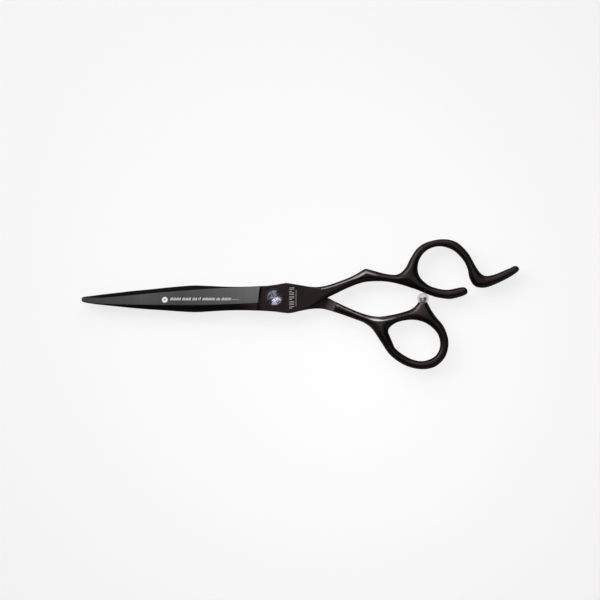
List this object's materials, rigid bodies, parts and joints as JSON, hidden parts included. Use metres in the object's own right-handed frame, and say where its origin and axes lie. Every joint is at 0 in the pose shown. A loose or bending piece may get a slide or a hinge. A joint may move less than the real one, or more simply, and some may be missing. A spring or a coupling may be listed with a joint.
{
  "type": "hair cutting shears",
  "caption": "Black hair cutting shears with a crystal-set pivot, a tension nut behind it, an open finger ring ending in a finger rest, a closed thumb ring and a clear bumper.",
  "frame": {"origin": "on the pivot axis, in the plane of the tension nut's back face, which is the lowest face when the shears lie on a table", "axes": "+X from the blade tips to the rings, +Y towards the finger ring's side, +Z along the pivot axis towards the crystal"},
  "size_m": [0.1859, 0.0553, 0.0072],
  "materials": {
    "coated_steel": "hard black coating, satin, with cross-ground blade faces showing dark grey",
    "screw_steel": "dark coated steel, polished rim",
    "crystal": "cut crystal, faintly lilac",
    "foil": "bright mirror foil",
    "bush_brass": "turned",
    "slip_plastic": "smooth low-friction plastic",
    "washer_steel": "plain spring steel",
    "nut_steel": "black coating over turned and fluted steel",
    "stud_brass": "dull brass, browned",
    "clear_bumper": "clear soft plastic, glossy"
  },
  "bodies": {
    "finger_half": {"finger_blade": "coated_steel", "finger_handle": "coated_steel", "pivot_screw": "screw_steel", "pivot_crystal": "crystal", "crystal_foil": "foil", "spring_washer": "washer_steel", "key_washer": "washer_steel"},
    "thumb_half": {"thumb_blade": "coated_steel", "thumb_handle": "coated_steel", "pivot_bush": "bush_brass", "friction_washer": "slip_plastic", "bumper_stud": "stud_brass", "bumper": "clear_bumper"},
    "tension_nut": {"tension_nut": "nut_steel"}
  },
  "joints": [
    {"name": "blade_pivot", "type": "hinge", "parent": "finger_half", "child": "thumb_half", "pos_m": [0, 0, 0.004], "axis": [0, 0, -1], "range_deg": [0, 90]},
    {"name": "nut_turn", "type": "hinge", "parent": "finger_half", "child": "tension_nut", "pos_m": [0, 0, 0], "axis": [0, 0, 1], "range_deg": [-180, 180]}
  ]
}
